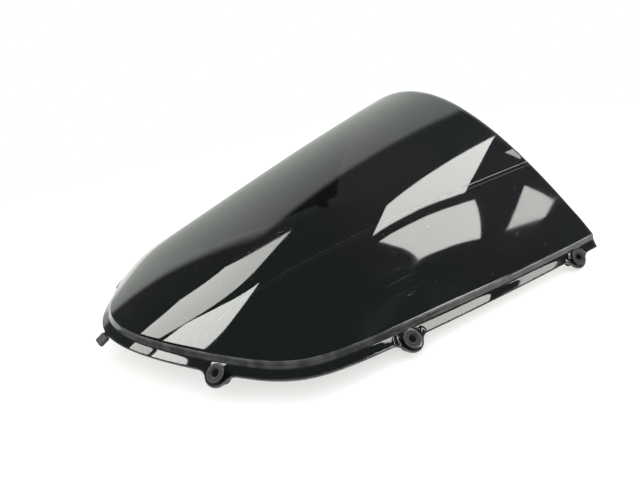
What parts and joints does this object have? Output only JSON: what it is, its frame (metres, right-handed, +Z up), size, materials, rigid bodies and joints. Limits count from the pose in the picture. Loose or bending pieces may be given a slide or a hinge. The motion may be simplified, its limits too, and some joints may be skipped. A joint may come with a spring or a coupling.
{
  "type": "windshield screen",
  "caption": "Smoked acrylic motorcycle windscreen: a domed screen with a stepped mounting flange, lugs with rubber well nuts and a cushioned nose tongue.",
  "frame": {"origin": "on the surface that the well nuts stand on, below the middle of the screen's length and width", "axes": "-Y towards the nose of the motorcycle, +X to the rider's left, +Z up through the top of the dome"},
  "size_m": [0.4216, 0.4134, 0.1683],
  "materials": {
    "smoked_acrylic": "polished, dark smoke tint",
    "black_rubber": "matte moulded rubber",
    "grey_rubber": "matte, slightly greyed rubber",
    "brass": "machined, dull"
  },
  "bodies": {
    "root": {"screen": "smoked_acrylic", "tongue_cushion": "grey_rubber", "well_nut_sleeve_left_front": "black_rubber", "well_nut_sleeve_left_middle": "black_rubber", "well_nut_sleeve_left_rear": "black_rubber", "well_nut_sleeve_right_front": "black_rubber", "well_nut_sleeve_right_middle": "black_rubber", "well_nut_sleeve_right_rear": "black_rubber"},
    "insert_left_front": {"well_nut_insert_left_front": "brass"},
    "insert_left_middle": {"well_nut_insert_left_middle": "brass"},
    "insert_left_rear": {"well_nut_insert_left_rear": "brass"},
    "insert_right_front": {"well_nut_insert_right_front": "brass"},
    "insert_right_middle": {"well_nut_insert_right_middle": "brass"},
    "insert_right_rear": {"well_nut_insert_right_rear": "brass"}
  },
  "joints": [
    {"name": "draw_left_front", "type": "slide", "parent": "root", "child": "insert_left_front", "axis": [0.3062, -0.5446, 0.7808], "range_m": [0, 0.003], "stiffness_N_per_m": 500, "deforming": ["well_nut_sleeve_left_front"]},
    {"name": "draw_left_middle", "type": "slide", "parent": "root", "child": "insert_left_middle", "axis": [0.6751, -0.0494, 0.7361], "range_m": [0, 0.003], "stiffness_N_per_m": 500, "deforming": ["well_nut_sleeve_left_middle"]},
    {"name": "draw_left_rear", "type": "slide", "parent": "root", "child": "insert_left_rear", "axis": [0.8143, -0.0794, 0.575], "range_m": [0, 0.003], "stiffness_N_per_m": 500, "deforming": ["well_nut_sleeve_left_rear"]},
    {"name": "draw_right_front", "type": "slide", "parent": "root", "child": "insert_right_front", "axis": [-0.3062, -0.5446, 0.7808], "range_m": [0, 0.003], "stiffness_N_per_m": 500, "deforming": ["well_nut_sleeve_right_front"]},
    {"name": "draw_right_middle", "type": "slide", "parent": "root", "child": "insert_right_middle", "axis": [-0.6751, -0.0494, 0.7361], "range_m": [0, 0.003], "stiffness_N_per_m": 500, "deforming": ["well_nut_sleeve_right_middle"]},
    {"name": "draw_right_rear", "type": "slide", "parent": "root", "child": "insert_right_rear", "axis": [-0.8143, -0.0794, 0.575], "range_m": [0, 0.003], "stiffness_N_per_m": 500, "deforming": ["well_nut_sleeve_right_rear"]}
  ]
}
